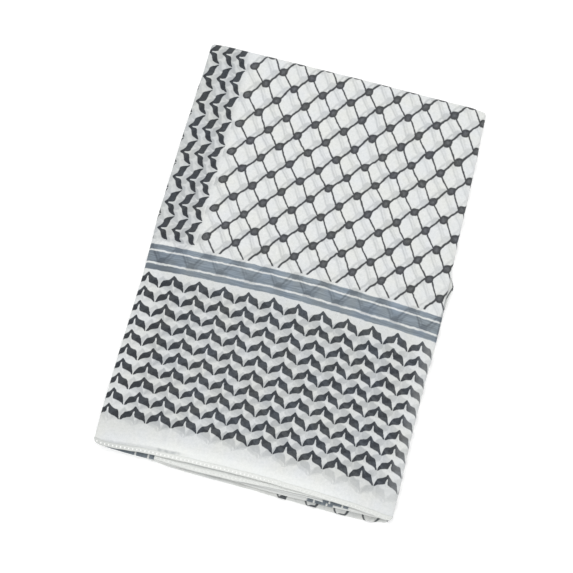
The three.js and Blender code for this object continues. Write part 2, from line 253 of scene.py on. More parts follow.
def printGroup():
    tree = bpy.data.node_groups.new("netAndLeafPrint", "ShaderNodeTree")
    add = partial(node, tree)
    tree.interface.new_socket("Place", in_out="INPUT", socket_type="NodeSocketVector")
    tree.interface.new_socket("Softness", in_out="INPUT", socket_type="NodeSocketFloat")
    for name in ("Knots", "Lines", "Leaves", "Stripes", "Cores"):
        tree.interface.new_socket(name, in_out="OUTPUT", socket_type="NodeSocketFloat")
    given = add("NodeGroupInput", out=None)
    split = add("SeparateXYZ", [given.outputs[0]], out=None)
    x, y = split.outputs[0], split.outputs[1]
    gain = add("Math", [0.5, given.outputs[1]], "DIVIDE")

    def inside(limit, value):
        room = add("Math", [limit, value], "SUBTRACT")
        return add("Math", [room, gain, 0.5], "MULTIPLY_ADD", use_clamp=True)

    # net: lines between two staggered lattices of knots
    halfX, halfY = net["pitchX"] / 2, net["pitchY"] / 2
    fromA = add("Math", [x, net["originX"]], "SUBTRACT")
    upA = add("Math", [y, net["originY"]], "SUBTRACT")
    ax = add("Math", [fromA, halfX, -halfX], "WRAP")
    ay = add("Math", [upA, halfY, -halfY], "WRAP")
    fromB = add("Math", [fromA, halfX], "ADD")
    upB = add("Math", [upA, halfY], "ADD")
    bx = add("Math", [fromB, halfX, -halfX], "WRAP")
    by = add("Math", [upB, halfY, -halfY], "WRAP")
    right = add("Math", [ax, 0.0], "GREATER_THAN")
    up = add("Math", [ay, 0.0], "GREATER_THAN")
    leans = add("Math", [right, up], "SUBTRACT")
    leans = add("Math", [leans], "ABSOLUTE")
    parts = []
    for downLeft, downRight, upLeft, upRight in zip(
        netLines["downLeft"], netLines["downRight"], netLines["upLeft"], netLines["upRight"],
    ):
        low = add("Mix", {0: right, 2: downLeft, 3: downRight})
        high = add("Mix", {0: right, 2: upLeft, 3: upRight})
        parts.append(add("Mix", {0: up, 2: low, 3: high}))
    halfway, slope, bend = parts
    run = add("Math", [ax], "ABSOLUTE")
    run = add("Math", [run, halfX / 2], "SUBTRACT")
    fromHalfway = add("Math", [run], "ABSOLUTE")
    bent = add("Math", [fromHalfway, bend], "MULTIPLY")
    rise = add("Math", [run, slope, halfway], "MULTIPLY_ADD")
    rise = add("Math", [bent, run, rise], "MULTIPLY_ADD")
    off = add("Math", [ay], "ABSOLUTE")
    off = add("Math", [off, rise], "SUBTRACT")
    off = add("Math", [off], "ABSOLUTE")
    slant = add("Math", [bent, 2.0, slope], "MULTIPLY_ADD")
    slant = add("Math", [slant, slant, 1.0], "MULTIPLY_ADD")
    slant = add("Math", [slant], "SQRT")
    off = add("Math", [off, slant], "DIVIDE")
    thin, heavy = net["lineWidth"] / 2, (net["lineWidth"] + net["lineExtra"]) / 2
    halfWidth = add("Mix", {0: leans, 2: heavy, 3: thin})
    lines = inside(halfWidth, off)
    lines = add("Math", [lines, inside(x, net["leftEnd"])], "MULTIPLY")
    lines = add("Math", [lines, inside(y, net["lineEnd"])], "MULTIPLY")

    def oval(sides, power):
        total = None
        for run, radius in sides:
            run = add("Math", [run], "ABSOLUTE")
            run = add("Math", [run, radius], "DIVIDE")
            run = add("Math", [run, power], "POWER")
            total = run if total is None else add("Math", [total, run], "ADD")
        return total

    # knots: leaning ovals with a square upper right corner,
    # the ones on the left border drawn out to a point
    knots = []
    for kx, ky in ((ax, ay), (bx, by)):
        leanX = add("Math", [ky, -net["knotLean"], kx], "MULTIPLY_ADD")
        leanY = add("Math", [kx, -net["knotLean"], ky], "MULTIPLY_ADD")
        corner = add("Math", [leanX, leanY], "MINIMUM")
        corner = add("Math", [corner, 0.0], "GREATER_THAN")
        power = add("Math", [corner, net["cornerPower"], net["knotPower"]], "MULTIPLY_ADD")
        total = oval(((leanX, net["knotWide"]), (leanY, net["knotTall"])), power)
        root = add("Math", [1.0, power], "DIVIDE")
        total = add("Math", [total, root], "POWER")
        knots.append(add("Math", [total, net["knotWide"]], "MULTIPLY"))
    droop = add("Math", [ax, -net["tailDroop"], ay], "MULTIPLY_ADD")
    tail = oval(((ax, net["tailWide"]), (droop, net["tailTall"])), 2.0)
    tail = add("Math", [tail, net["knotWide"]], "MULTIPLY")
    beyond = add("Math", [x, net["originX"]], "LESS_THAN")
    first = add("Mix", {0: beyond, 2: knots[0], 3: tail})
    nearKnot = add("Math", [first, knots[1]], "MINIMUM")
    knotMask = inside(net["knotWide"], nearKnot)
    core = add("MapRange", [nearKnot, *net["core"], 1.0, 0.0])
    keep = inside(x, net["originX"] - halfX / 2)
    knotMask = add("Math", [knotMask, keep], "MULTIPLY")
    knotMask = add("Math", [knotMask, inside(y, net["knotEnd"])], "MULTIPLY")

    # leaf rows below the stripes, and the same leaves on their side in columns left of the net
    rowAlong = add("Math", [x, leaves["firstPeak"]], "SUBTRACT")
    rowDepth = add("Math", [leaves["firstRow"], y], "SUBTRACT")
    longer = leaves["pitch"] / leaves["columnPeriod"]
    deeper = leaves["rowPitch"] / leaves["columnPitch"]
    columnAlong = add("Math", [y, leaves["columnPeak"]], "SUBTRACT")
    columnAlong = add("Math", [columnAlong, longer], "MULTIPLY")
    columnDepth = add("Math", [x, leaves["columnTip"]], "SUBTRACT")
    columnDepth = add("Math", [columnDepth, deeper], "MULTIPLY")
    leftOf = add("Math", [x, leaves["columnEdge"]], "LESS_THAN")
    above = add("Math", [y, leaves["columnEnd"]], "GREATER_THAN")
    inColumns = add("Math", [leftOf, above], "MULTIPLY")
    along = add("Mix", {0: inColumns, 2: rowAlong, 3: columnAlong})
    depth = add("Mix", {0: inColumns, 2: rowDepth, 3: columnDepth})
    along = add("Math", [along, leafStart + leaves["pitch"], leafStart], "WRAP")
    overlap = leaves["overlap"]
    depth = add("Math", [depth, leaves["rowPitch"] - overlap, -overlap], "WRAP")
    share = add("Math", [along, leafStart], "SUBTRACT")
    share = add("Math", [share, leaves["pitch"]], "DIVIDE")
    low, high = depthRange
    aside = add("Math", [x], "ABSOLUTE")
    edges = []
    for table, thinner in ((leafUpper, leaves["thinner"]), (leafLower, -leaves["thinner"])):
        curve = add("FloatCurve", {1: share}, out=None)
        setCurve(curve, table)
        edge = add("Math", [curve.outputs[0], high - low, low], "MULTIPLY_ADD")
        thinned = add("MapRange", [aside, *leaves["thinning"], 0.0, thinner])
        thinned = add("Mix", {0: inColumns, 2: thinned, 3: thinner})
        edges.append(add("Math", [edge, thinned], "ADD"))
    upper, lower = edges
    leaf = add("Math", [inside(depth, upper), inside(lower, depth)], "MULTIPLY")
    rowStart = add("Math", [y, leaves["firstRow"] + leaves["lead"]], "LESS_THAN")
    rowEnd = add("Math", [y, leaves["lastEdge"]], "GREATER_THAN")
    inRows = add("Math", [rowStart, rowEnd], "MULTIPLY")
    printed = add("Math", [inRows, inColumns], "MAXIMUM")
    leaf = add("Math", [leaf, printed], "MULTIPLY")

    # stripes between the net and the rows
    band = None
    for centre, half in stripes:
        away = add("Math", [y, centre], "SUBTRACT")
        away = add("Math", [away], "ABSOLUTE")
        one = inside(half, away)
        band = one if band is None else add("Math", [band, one], "MAXIMUM")
    add("NodeGroupOutput", [knotMask, lines, leaf, band, core], out=None)
    return tree


netAndLeafPrint = printGroup()


# how much shows through the top layer, as shares of a solid shadow
ghosts = {
    "print": 0.27,
    "lines": 1.05,
    "second": 0.6,  # the layer below that, as a share of the first
    "softness": 0.7,
    "rowShift": -12.9,
    "rowLean": 0.033,  # the rows below lie a little askew
    "rowDrop": 5.0,
    "stripeEnd": -20.0,
    "hemAt": -172.3,  # a hem further down
    "dashesAt": -62.5,
    "dashTurns": 1.05,
}
# the net's and the columns' shift in the layer below, how much lower its rows lie, and its share
ghostLayers = [
    ((6.8, 28.9, 0.0), (-5.0, 28.9, 0.0), 0.0, 1.0),
    ((3.9, 29.6, 0.0), (-2.6, 31.0, 0.0), 1.9, ghosts["second"]),
]
# where shadow and ink change: each patch is a product of fades, and a fade is an axis, its start
# and end, and the values there; out is the distance from the middle, and the axes after it
# are worked out in the materials
patches = {
    "thinning": [("out", 100, 116, 1, 0.6)],  # fewer layers overlap at the side folds
    "underColumns": [("x", -92.5, -87, 1, 0)],
    "rowStack": [("y", -30, 10, 0.2, 0), ("y", -170, -152, 0, 1), ("out", 100, 116, 1, 0.6)],
    "columnStack": [("x", -92, -84, 0.26, 0.07), ("y", -2, 2, 0, 1)],
    # painted shade: the margin by the hem darker towards both ends
    "sideStack": [("out", 70, 124, 0, 0.1), ("y", -152, -142, 1, 0)],
    "wideBand": [("x", -71.7, -70.5, 0, 0.05), ("x", -66.5, -65.3, 1, 0),
                 ("y", -168, -163, 0, 1), ("y", -150.1, -150, 1, 0)],
    "narrowBand": [("x", -57.9, -56.7, 0, 0.05), ("x", -55.3, -54.1, 1, 0),
                   ("y", -168, -163, 0, 1), ("y", -150.1, -150, 1, 0)],
    "hemBelow": [("x", -121, -110, 0, 0.17), ("x", -60, -44, 1, 0)],
    "hemDashes": [("dash", 8, 10.5, 0.3, 0), ("gap", -1, 1, 0.45, 1)],
    "backed": [("shade", 0.03, 0.16, 0, 1)],
    # painted shade: the leaf ink darker towards the left
    "heavier": [("x", -100, -55, 0.35, 0)],
    # painted light: the leaf ink paler at the right fold, where light shines through the cloth
    "faded": [("x", 112.5, 119, 0, 0.14)],
    # painted light: the cloth paler just above the hem, in the middle
    "aboveHem": [("y", -163, -169, 0, 0.35), ("out", 55, 100, 1, 0)],
    "lowStripes": [("y", -22, -9, 0.13, 0)],
    # painted shade: the stripes darker towards the left, most on the lowest
    "leftStripes": [("x", -112, -78, 0.2, 0), ("y", -23, -17, 2, 1)],
    # painted shade: a dark line along the right fold
    "rim": [("x", 122.6, 123.5, 0, 0.42), ("y", -28, -20, 0, 1), ("y", 12, 21, 1, 0)],
    # painted shade of the folds inside: where they turn in under the next one, and low down
    "turnedIn": [("turn", 0.6, 0.98, 0, 0.26)],
    "lowDown": [("height", 0.0036, 0.005, 0.21, 0.02)],
    # painted shade of the hem: towards both side folds, and where it rolls in under itself
    "hemLeft": [("x", -118, -60, 0.28, 0)],
    "hemRight": [("x", 50, 122, 0, 0.1)],
    "hemRolled": [("turn", 0.1, 0.8, 0.5, 0)],
}
# each ink: pale and deep, then both again where it leans warm
inkTones = {
    "ground": ("#dfe1e2", "#d3d6d7", "#e1e2df", "#d4d6d3"),
    # the folds inside take a whiter ground, which is painted light, and darker stripes, which are
    # painted shade
    "innerGround": ("#ebedeb", "#e1e4e2", "#ecece8", "#e2e3df"),
    "stripe": ("#8894a0", "#717c87", "#8b949a", "#757d83"),
    "innerStripe": ("#7d8791", "#667079", "#7f878c", "#6a7175"),
    "knot": ("#494b50", "#35373b", "#4a4c4c", "#37393a"),
    "core": ("#65676c", "#4c4e53", "#656767", "#4e5050"),
    "leaf": ("#3d4249", "#292e34", "#404346", "#2b2e31"),
    "bareLeaf": ("#4c5158", "#393e44", "#4f5254", "#3c3f41"),
}
# what those inks shift towards
tones = {
    "shadow": "#5b6269",
    # painted shade for the leaf ink on the left
    "heavyLeaf": "#202326",
    # painted light above the hem
    "whitest": "#e8ebe8",
    "deepStripe": "#343a41",
    # painted shade of the right fold
    "rim": "#40474d",
    # painted shade in the creases
    "crease": "#4f5456",
    "hemDeep": "#d3d5d2",
    "hemPale": "#dfe1de",
    "hemShadow": "#6e7375",
    "threadDeep": "#e6e7e5",
    "threadPale": "#f0f1ef",
}
tones = {name: linear(tone) for name, tone in tones.items()}
clothLooks = {
    "chiffon": {"roughness": 0.82, "sheen": 0.1, "bump": 0.5, "deep": 0.0005},
    "hem": {"roughness": 0.8, "sheen": 0.12, "bump": 0.3, "deep": 0.0004},
}


def emptyMaterial(name):
    material = bpy.data.materials.new(name)
    material.use_nodes = True
    material.node_tree.nodes.clear()
    return material, partial(node, material.node_tree)


def clothPlace(add):
    # in millimetres
    place = add("UVMap", uv_map="cloth")
    return add("VectorMath", [place, (1000, 1000, 1000)], "MULTIPLY")


def patch(add, axes, name):
    product = None
    for axis, *fade in patches[name]:
        one = add("MapRange", [axes[axis], *fade])
        product = one if product is None else add("Math", [product, one], "MULTIPLY")
    return product


def finishCloth(add, colour, relief, look):
    bump = add("Bump", {"Strength": look["bump"], "Distance": look["deep"], "Height": relief})
    shader = add("BsdfPrincipled", {
        "Base Color": colour,
        "Roughness": look["roughness"],
        "Specular IOR Level": 0.25,
        "Sheen Weight": look["sheen"],
        "Sheen Roughness": 0.5,
        "Normal": bump,
    })
    add("OutputMaterial", [shader])


def chiffonMaterial(name, strength, inner):
    # Printed polyester chiffon: matt, sheer and crisp.
    # The layers below show through it as a pale shadow of their print.
    material, add = emptyMaterial(name)
    place = clothPlace(add)
    # the cloth is never quite square and its threads wander, so the print wavers a little
    for scale, amount in ((0.09, 1.6), (0.33, 1.0)):
        drift = add("TexNoise", {"Vector": place, "Scale": scale, "Detail": 1.0}, out=1)
        drift = add("VectorMath", [drift, (0.5, 0.5, 0.5)], "SUBTRACT")
        drift = add("VectorMath", [drift, (amount, amount, 0)], "MULTIPLY")
        place = add("VectorMath", [place, drift], "ADD")
    inked = add("Group", [place, 0.32], out=None, node_tree=netAndLeafPrint)

    # the layer below: the same cloth, shifted by the fold
    split = add("SeparateXYZ", [place], out=None)
    x, y = split.outputs[0], split.outputs[1]
    axes = {"x": x, "y": y, "out": add("Math", [x], "ABSOLUTE")}
    thinning = patch(add, axes, "thinning")
    lower = add("Math", [x, ghosts["rowLean"], ghosts["rowDrop"]], "MULTIPLY_ADD")
    rowShift = add("CombineXYZ", [ghosts["rowShift"], lower, 0.0])
    onRows = add("Math", [y, ghosts["stripeEnd"]], "LESS_THAN")
    aboveStripes = add("Math", [y, 0.0], "GREATER_THAN")
    inColumns = add("Math", [x, leaves["columnEdge"]], "LESS_THAN")
    inColumns = add("Math", [inColumns, aboveStripes], "MULTIPLY")
    # below the stripes lies the net, up to the left fold: the same repeat, taken from further in
    twoOver = add("MapRange", [aboveStripes, 0.0, 1.0, 2 * net["pitchX"], 0.0])
    twoOver = add("CombineXYZ", [twoOver, 0.0, 0.0])
    fade = add("Math", [patch(add, axes, "underColumns"), onRows], "MAXIMUM")
    shade = None
    for netShift, columnShift, rowGap, share in ghostLayers:
        shift = add("Mix", {0: inColumns, 4: netShift, 5: columnShift}, out=1, data_type="VECTOR")
        shift = add("VectorMath", [shift, twoOver], "ADD")
        sunk = add("VectorMath", [rowShift, (rowGap, rowGap, 0.0)], "ADD")
        shift = add("Mix", {0: onRows, 4: shift, 5: sunk}, out=1, data_type="VECTOR")
        under = add("VectorMath", [place, shift], "ADD")
        ghost = add("Group", [under, ghosts["softness"]], out=None, node_tree=netAndLeafPrint)
        ghostLines = add("Math", [ghost.outputs[1], ghosts["lines"]], "MULTIPLY")
        ghostLeaves = add("Math", [ghost.outputs[2], fade], "MULTIPLY")
        one = add("Math", [ghost.outputs[0], ghostLeaves], "MAXIMUM")
        one = add("Math", [one, ghostLines], "MAXIMUM")
        one = add("Math", [one, share], "MULTIPLY")
        shade = one if shade is None else add("Math", [shade, one], "MAXIMUM")
    patchy = add("TexNoise", {"Vector": place, "Scale": 0.03, "Detail": 2.0})
    patchy = add("MapRange", [patchy, 0.3, 0.7, 0.7, 1.2])
    shade = add("Math", [shade, patchy], "MULTIPLY")
    shade = add("Math", [shade, ghosts["print"] * strength], "MULTIPLY", use_clamp=True)
    axes["shade"] = shade

    # a hem further down shows as a soft grey line, with a few dashes where stripes run into it
    for axis, along, centre in (("level", y, "hemAt"), ("dash", x, "dashesAt")):
        away = add("Math", [along, ghosts[centre]], "SUBTRACT")
        axes[axis] = add("Math", [away], "ABSOLUTE")
    gaps = add("Math", [x, ghosts["dashTurns"]], "MULTIPLY")
    axes["gap"] = add("Math", [gaps], "SINE")
    level = add("MapRange", [axes["level"], 0.4, 2.0, 1.0, 0.0], interpolation_type="SMOOTHSTEP")
    dull = add("Math", [patch(add, axes, "hemBelow"), patch(add, axes, "hemDashes")], "ADD")
    dull = add("Math", [dull, level], "MULTIPLY")
    # and the whole stack below dulls the cloth where it is densely printed; painted shade also
    # darkens the margin by the hem towards both ends
    for part in ("rowStack", "columnStack", "sideStack", "wideBand", "narrowBand"):
        dull = add("Math", [dull, patch(add, axes, part)], "ADD")
    dull = add("Math", [dull, strength], "MULTIPLY")
    groundShade = add("Math", [shade, thinning, dull], "MULTIPLY_ADD")

    # dye: uneven where the crepe yarns take less of it
    grain = add("TexNoise", {"Vector": place, "Scale": 1.1, "Detail": 3.0, "Roughness": 0.7})
    weave = add("TexNoise", {"Vector": place, "Scale": 0.42, "Detail": 2.0})
    grain = add("Math", [grain, weave], "ADD")
    grain = add("MapRange", [grain, 0.75, 1.25, 0.0, 1.0])
    streaky = add("VectorMath", [place, (0.07, 1.0, 1.0)], "MULTIPLY")
    streaky = add("TexNoise", {"Vector": streaky, "Scale": 0.9, "Detail": 2.0})
    streaky = add("MapRange", [streaky, 0.35, 0.65, 0.0, 1.0])
    tint = add("TexNoise", {"Vector": place, "Scale": 0.055, "Detail": 2.0})
    tint = add("MapRange", [tint, 0.35, 0.65, 0.0, 1.0])
    inks = {}
    for part, hexTones in inkTones.items():
        pale, deep, warmPale, warmDeep = [linear(tone) for tone in hexTones]
        pale = add("Mix", {0: tint, 6: pale, 7: warmPale}, out=2, data_type="RGBA")
        deep = add("Mix", {0: tint, 6: deep, 7: warmDeep}, out=2, data_type="RGBA")
        mottle = streaky if part in ("stripe", "innerStripe") else grain
        inks[part] = add("Mix", {0: mottle, 6: deep, 7: pale}, out=2, data_type="RGBA")
    # the folds inside: a whiter ground as painted light, and darker stripes as painted shade
    ground = inks["innerGround" if inner else "ground"]
    stripe = inks["innerStripe" if inner else "stripe"]
    # ink looks darker over the shadow of a leaf below, darker towards the left with painted
    # shade, and paler at the right fold with painted light shining through the cloth there
    leafInk = inks["bareLeaf"]
    inkShifts = {"backed": inks["leaf"], "heavier": tones["heavyLeaf"], "faded": ground}
    for part, ink in inkShifts.items():
        share = patch(add, axes, part)
        leafInk = add("Mix", {0: share, 6: leafInk, 7: ink}, out=2, data_type="RGBA")
    # the stripes darken towards the rows over the printed layers below, and with painted shade
    # towards the left fold
    low = add("Math", [patch(add, axes, "lowStripes"), patch(add, axes, "leftStripes")], "ADD")
    low = add("Math", [shade, 1.5, low], "MULTIPLY_ADD")
    stripe = add("Mix", {0: low, 6: stripe, 7: tones["deepStripe"]}, out=2, data_type="RGBA")
    core = inked.outputs[4]
    knot = add("Mix", {0: core, 6: inks["knot"], 7: inks["core"]}, out=2, data_type="RGBA")
    if inner:
        # painted shade: folds are darkest where they turn in under the next one, and darker low
        # down
        facing = add("NewGeometry", out=1)
        facing = add("SeparateXYZ", [facing], out=2)
        axes["turn"] = add("Math", [facing], "ABSOLUTE")
        height = add("TexCoord", out=3)
        axes["height"] = add("SeparateXYZ", [height], out=2)
        crease = add("Math", [patch(add, axes, "turnedIn"), patch(add, axes, "lowDown")], "ADD")
        last = (crease, tones["crease"])
    else:
        # painted shade: a dark line where the right fold turns under, beside the stripes
        last = (patch(add, axes, "rim"), tones["rim"])
    # the cloth, whitest just above the hem with painted light, then what covers it, from its
    # shadows up
    colour = ground
    for share, ink in (
        (patch(add, axes, "aboveHem"), tones["whitest"]),
        (groundShade, tones["shadow"]),
        (inked.outputs[3], stripe),
        (inked.outputs[2], leafInk),
        (inked.outputs[1], inks["knot"]),
        (inked.outputs[0], knot),
        last,
    ):
        colour = add("Mix", {0: share, 6: colour, 7: ink}, out=2, data_type="RGBA")

    crepe = add("TexNoise", {"Vector": place, "Scale": 0.9, "Detail": 4.0, "Roughness": 0.65})
    pucker = add("TexNoise", {"Vector": place, "Scale": 0.11, "Detail": 2.0})
    relief = add("Math", [pucker, 3.0, crepe], "MULTIPLY_ADD")
    finishCloth(add, colour, relief, clothLooks["chiffon"])
    return material


def hemMaterial(name):
    # Plain chiffon rolled on itself: three layers, so whiter and less sheer than the panel.
    material, add = emptyMaterial(name)
    place = clothPlace(add)
    grain = add("TexNoise", {"Vector": place, "Scale": 0.5, "Detail": 3.0, "Roughness": 0.6})
    grain = add("MapRange", [grain, 0.3, 0.7, 0.0, 1.0])
    # painted shade: it dulls towards both side folds, and is darkest where it rolls in under
    # itself
    facing = add("NewGeometry", out=1)
    axes = {
        "x": add("SeparateXYZ", [place], out=0),
        "turn": add("SeparateXYZ", [facing], out=2),
    }
    dull = add("Math", [patch(add, axes, "hemLeft"), patch(add, axes, "hemRight")], "ADD")
    dull = add("Math", [dull, patch(add, axes, "hemRolled")], "MAXIMUM")
    colour = tones["hemDeep"]
    for share, ink in ((grain, tones["hemPale"]), (dull, tones["hemShadow"])):
        colour = add("Mix", {0: share, 6: colour, 7: ink}, out=2, data_type="RGBA")
    finishCloth(add, colour, grain, clothLooks["hem"])
    return material


def threadMaterial(name):
    # White polyester sewing thread: a little glossier than the cloth, its twist a fine wave.
    material, add = emptyMaterial(name)
    place = add("TexCoord", out=3)
    twist = add("TexWave", {"Vector": place, "Scale": 900.0, "Distortion": 1.0})
    deep, pale = tones["threadDeep"], tones["threadPale"]
    colour = add("Mix", {0: twist, 6: deep, 7: pale}, out=2, data_type="RGBA")
    shader = add("BsdfPrincipled", {
        "Base Color": colour, "Roughness": 0.45, "Sheen Weight": 0.1,
    })
    add("OutputMaterial", [shader])
    return material


topChiffon = chiffonMaterial("printedChiffonTop", 1.0, False)
innerChiffon = chiffonMaterial("printedChiffonInner", 0.4, True)
hemChiffon = hemMaterial("rolledHemChiffon")
sewingThread = threadMaterial("sewingThread")
print("materials made")

sharpAngle = math.radians(55)


def makeMesh(name, points, faces, spots, material):
    mesh = bpy.data.meshes.new(name)
    mesh.from_pydata([(x * mm, y * mm, z * mm) for x, y, z in points], [], faces)
    layer = mesh.uv_layers.new(name="cloth")
    # spots holds each point's place on the cloth, or works it out from the point
    # and the centre of its face
    for polygon in mesh.polygons:
        centre = [c / mm for c in polygon.center]
        for index in polygon.loop_indices:
            vertex = mesh.loops[index].vertex_index
            u, v = spots(points[vertex], centre) if callable(spots) else spots[vertex]
            layer.data[index].uv = (u * mm, v * mm)
    mesh.validate()
    for polygon in mesh.polygons:
        polygon.use_smooth = True
    mesh.set_sharp_from_angle(angle=sharpAngle)
    obj = bpy.data.objects.new(name, mesh)
    bpy.context.collection.objects.link(obj)
    obj.data.materials.append(material)
    return obj


def wall(name, columns, rows, outerFace, innerFace, spotAt, material):
    points, spots, faces = [], [], []
    for face in (outerFace, innerFace):
        for y in rows:
            for x in columns:
                point = face(x, y)
                points.append(point)
                spots.append(spotAt(x, y, point))
    wide = len(columns)
    inner = wide * len(rows)
    for j in range(len(rows) - 1):
        for i in range(wide - 1):
            a = j * wide + i
            b = inner + a
            faces.append((a, a + 1, a + wide + 1, a + wide))
            faces.append((b, b + wide, b + wide + 1, b + 1))
        left = j * wide
        right = left + wide - 1
        faces.append((left, left + wide, inner + left + wide, inner + left))
        faces.append((right, inner + right, inner + right + wide, right + wide))
    for i in range(wide - 1):
        far = inner - wide + i
        faces.append((i, inner + i, inner + i + 1, i + 1))
        faces.append((far, far + 1, inner + far + 1, inner + far))
    return makeMesh(name, points, faces, spots, material)


def spacing(start, end, step, rollStart, rollEnd, rollSteps):
    first, last = start + rollStart, end - rollEnd
    count = max(1, round((last - first) / step))
    values = [start + rollStart * i / rollSteps for i in range(rollSteps)] if rollStart else []
    values += [first + (last - first) * i / count for i in range(count + 1)]
    values += [last + rollEnd * (i + 1) / rollSteps for i in range(rollSteps)] if rollEnd else []
    return values


def panelPoint(panel, x, y, depth):
    corner = pack["farCorner"]
    power = pack["cornerPower"]
    centreX = pack["halfWidth"] - panel["inset"] - corner
    centreY = pack["halfLength"] - panel["insetFar"] - corner
    outX, outY = max(abs(x) - centreX, 0.0), max(y - centreY, 0.0)
    reach = max(outX, outY)
    spread = (outX ** power + outY ** power) ** (1 / power) or 1.0
    turned = smooth(0, 1, math.atan2(outY, outX) / (math.pi / 2)) if reach else 0.0
    rollReach = panel["rollSide"] + (panel["rollFar"] - panel["rollSide"]) * turned
    rollDrop = panel["rollSide"] + (panel["dropFar"] - panel["rollSide"]) * turned
    flat = corner - rollReach
    angle = max(reach - flat, 0.0) / ((rollReach + rollDrop) / 2)
    plan = flat + (rollReach - depth) * math.sin(angle) if angle else reach
    drop = (rollDrop - depth) * (1 - math.cos(angle))
    planX = math.copysign(min(abs(x), centreX) + plan * outX / spread, x)
    planY = min(y, centreY) + plan * outY / spread
    fade = max(math.cos(min(angle, math.pi / 2)), 0.0)
    ripple = ridgeHeight(planX, planY) * panel["ridges"] + crinkle(planX, planY, panel["seed"])
    outX, outY = toOutline(planX, planY, panel["layer"])
    return outX, outY, panel["height"] - depth - drop + ripple * fade


# how far the folded print has slipped out of true: y, then the slip across and along
# at five places across
drapeAcross = (-110, -75, 0, 75, 112)
drape = [
    (168, (0.4, -0.5, -0.7, -0.5, 0.0), (0.0, 0.0, 0.6, 0.3, 0.6)),
    (145, (1.3, 0.25, -0.25, -0.2, 0.2), (0.2, -0.6, 0.35, 0.2, 1.2)),
    (120, (1.5, 0.5, 0.05, -0.15, 0.2), (-0.1, -1.5, -0.6, -0.9, 0.1)),
    (95, (1.15, 0.3, 0.0, -0.15, 0.15), (-0.2, -1.1, -0.4, -0.75, 0.3)),
    (70, (0.5, -0.2, -0.2, -0.2, 0.1), (0.0, -0.45, -0.25, -0.5, 0.3)),
    (45, (-0.1, -0.75, -0.5, -0.2, 0.1), (0.1, -0.45, -0.3, -0.75, -0.5)),
    (20, (-0.1, -0.75, -0.7, -0.3, 0.1), (-0.1, -0.25, 0.0, -0.4, -0.25)),
    (0, (-0.2, -1.2, -0.95, -0.6, 0.0), (0.2, 0.2, 0.4, -0.2, 0.0)),
    (-10, (0.0, -0.4, -0.4, -0.5, -0.1), (0.15, 0.3, 0.7, -0.35, 0.2)),
    (-28, (0.2, 0.3, 0.0, -0.45, -0.2), (-0.1, -0.2, 0.1, -0.7, -0.4)),
    (-80, (0.0, 0.2, -0.25, -0.5, -0.7), (0.0, 0.3, 0.3, -0.3, -0.2)),
    (-120, (-0.6, -0.6, -1.0, -1.15, -1.0), (0.2, 0.75, 0.55, 0.0, 0.0)),
    (-140, (-1.1, -0.85, -1.1, -1.2, -1.0), (0.0, 0.75, 0.4, -0.1, -0.1)),
]


def slipAt(x, y, column):
    table = [(row[0], *row[column]) for row in reversed(drape)]
    across = [(place, lookUp(table, y, index + 1)) for index, place in enumerate(drapeAcross)]
    return lookUp(across, x, 1)


# the print bows a little across the pack, less towards the far fold
printBow = {"high": 4.1, "ease": 0.0077, "halfWidth": 120}


def clothSpot(x, y, point):
    across, along = toOutline(x, y, "top")
    bow = printBow["high"] - printBow["ease"] * along
    bow *= 1 - (across / printBow["halfWidth"]) ** 2
    return across - slipAt(across, along, 1), along - bow - slipAt(across, along, 2)


top = {
    "layer": "top",
    "height": 10.3,
    "thick": 0.45,
    "inset": 0.0,
    "insetFar": 0.0,
    "rollSide": 2.6,
    "rollFar": 6.0,
    "dropFar": 5.8,
    "turnSide": 1.85,  # radians that the roll turns at the sides
    "turnFar": 1.57,
    "ridges": 1.0,
    "seed": 0.0,
    "step": 2.0,
    "rollSteps": 8,
}


def panelGrid(panel):
    sideArc = panel["rollSide"] * panel["turnSide"]
    farArc = (panel["rollFar"] + panel["dropFar"]) / 2 * panel["turnFar"]
    halfX = pack["halfWidth"] - panel["inset"] - panel["rollSide"] + sideArc
    farY = pack["halfLength"] - panel["insetFar"] - panel["rollFar"] + farArc
    columns = spacing(-halfX, halfX, panel["step"], sideArc, sideArc, panel["rollSteps"])
    rows = spacing(-pack["halfLength"] + pack["hemWidth"], farY, panel["step"], 0, farArc,
                   panel["rollSteps"])
    return columns, rows


columns, rows = panelGrid(top)
topCloth = wall(
    "topCloth", columns, rows,
    lambda x, y: panelPoint(top, x, y, 0),
    lambda x, y: panelPoint(top, x, y, top["thick"]),
    clothSpot, topChiffon,
)
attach(topCloth, "root")
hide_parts("top_panel")
print("top cloth made")

hems = {"tuck": 0.2, "swell": 0.06, "swellLength": 9, "pinchBelow": 0.6}
topHemShape = {"lift": 0.3, "thick": 1.1, "stitchDepth": 0.25, "start": -121, "end": 122}
# share of the way across the hem, then how far it is pressed in there
hemBands = [
    (0.0, 0.5), (0.04, 0.2), (0.12, 0.03), (0.27, 0.0), (0.34, 0.1), (0.38, 0.24), (0.42, 0.1),
    (0.56, 0.03), (0.76, 0.2), (0.88, 0.5), (1.0, 0.62),
]


def hemPoint(panel, x, across, depth):
    # across runs from the free edge at 0 to the seam at 1
    corner = pack["nearCorner"]
    past = abs(x) - (pack["halfWidth"] - panel["inset"] - corner)
    past = min(max(past, 0), corner)
    edge = -pack["halfLength"] + corner - math.sqrt(corner ** 2 - past ** 2)
    seam = -pack["halfLength"] + pack["hemWidth"] + hems["tuck"]
    return panelPoint(panel, x, edge + (seam - edge) * across, depth)


def makeHem(name, panel, shape, columns):
    pinches = dict(hemBands)

    def outer(x, across):
        swell = noise.noise(Vector((x / hems["swellLength"], 3.1, panel["seed"])))
        swell = hems["swell"] * swell + shape["lift"]
        return hemPoint(panel, x, across, shape["thick"] * pinches[across] - swell)

    def inner(x, across):
        below = 1 - pinches[across] * hems["pinchBelow"]
        return hemPoint(panel, x, across, shape["thick"] * below)

    return wall(name, columns, [band for band, pinch in hemBands], outer, inner,
                lambda x, across, point: (point[0], point[1]), hemChiffon)


